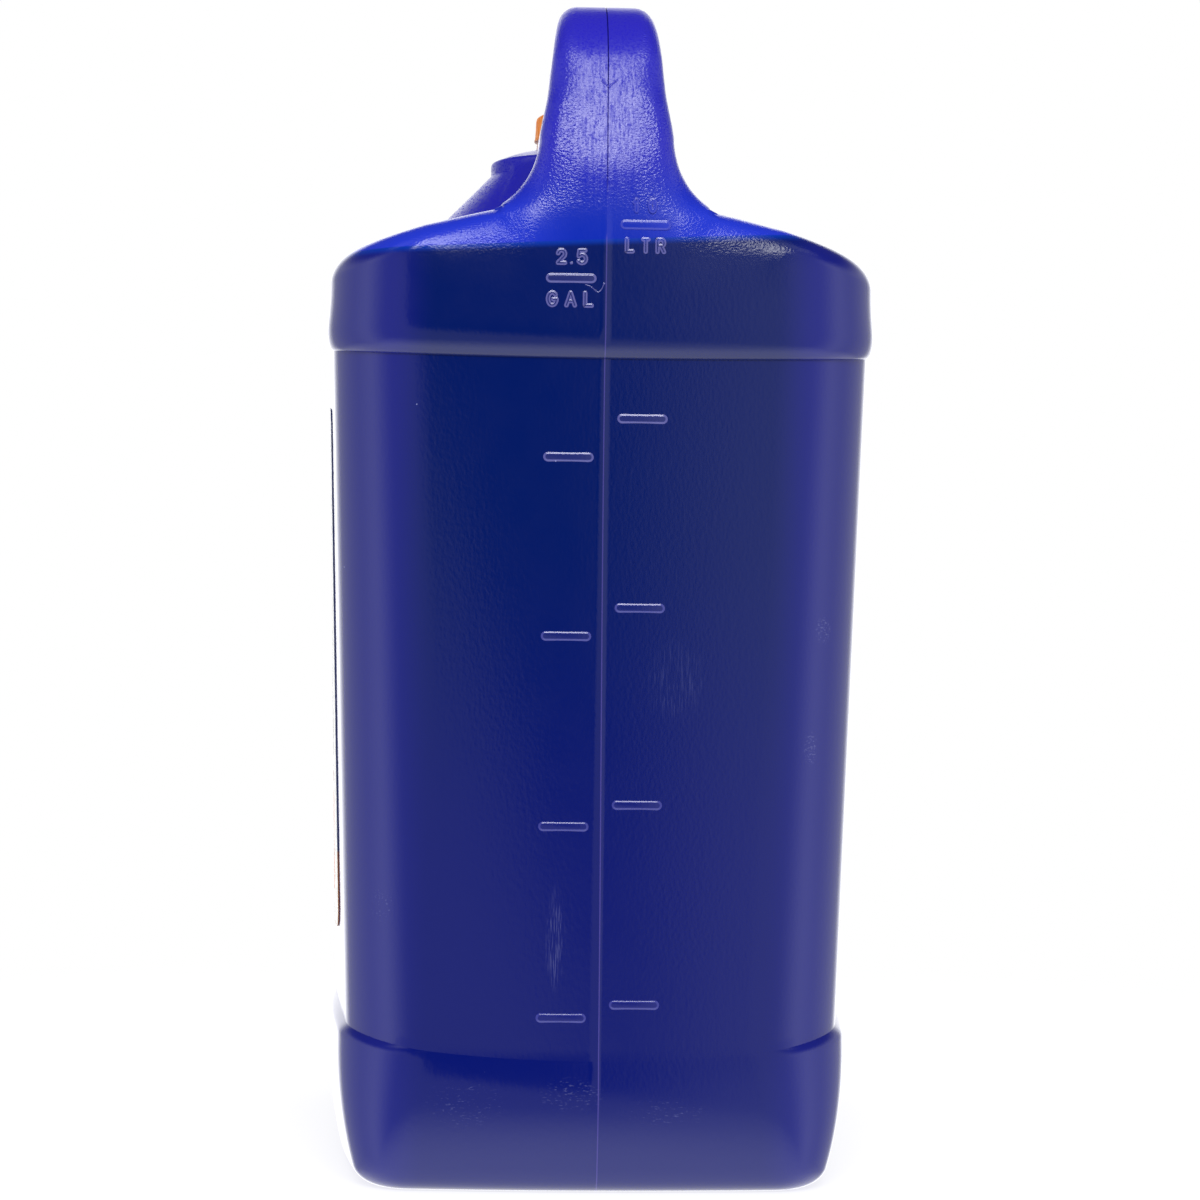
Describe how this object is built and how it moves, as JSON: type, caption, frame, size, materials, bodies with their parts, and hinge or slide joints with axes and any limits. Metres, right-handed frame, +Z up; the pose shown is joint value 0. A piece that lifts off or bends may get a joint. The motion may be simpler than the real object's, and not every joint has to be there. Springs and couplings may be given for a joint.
{
  "type": "motor oil bottle",
  "caption": "Tall rectangular blown plastic oil jug with a hollow handle at one end, an off-centre neck with a screw cap, and a flat label on each wide side.",
  "frame": {"origin": "middle of the jug's footprint, on the plane it stands on", "axes": "+Z up; -Y out of the narrow end that carries the handle, which the picture faces; +X to the right in the picture; the neck stands toward +Y"},
  "size_m": [0.1716, 0.2355, 0.363],
  "materials": {
    "blue_hdpe": "satin",
    "motor_oil": "gloss",
    "label_stock": "satin",
    "orange_pp": "satin",
    "liner_foam": "matte"
  },
  "bodies": {
    "jug": {"bottle": "blue_hdpe", "oil": "motor_oil", "label_left": "label_stock", "label_right": "label_stock", "tamper_ring": "orange_pp"},
    "liner": {"cap_liner": "liner_foam"},
    "cap": {"cap": "orange_pp"}
  },
  "joints": [
    {"name": "cap_lift", "type": "slide", "parent": "jug", "child": "liner", "axis": [0, 0, 1], "range_m": [0, 0.0105]},
    {"name": "cap_turn", "type": "hinge", "parent": "liner", "child": "cap", "pos_m": [0, 0.057, 0.3417], "axis": [0, 0, 1], "range_deg": [0, 900]}
  ],
  "couplings": [
    {"joint": "cap_lift", "follows": "cap_turn", "m_per_rad": 0.000668}
  ]
}
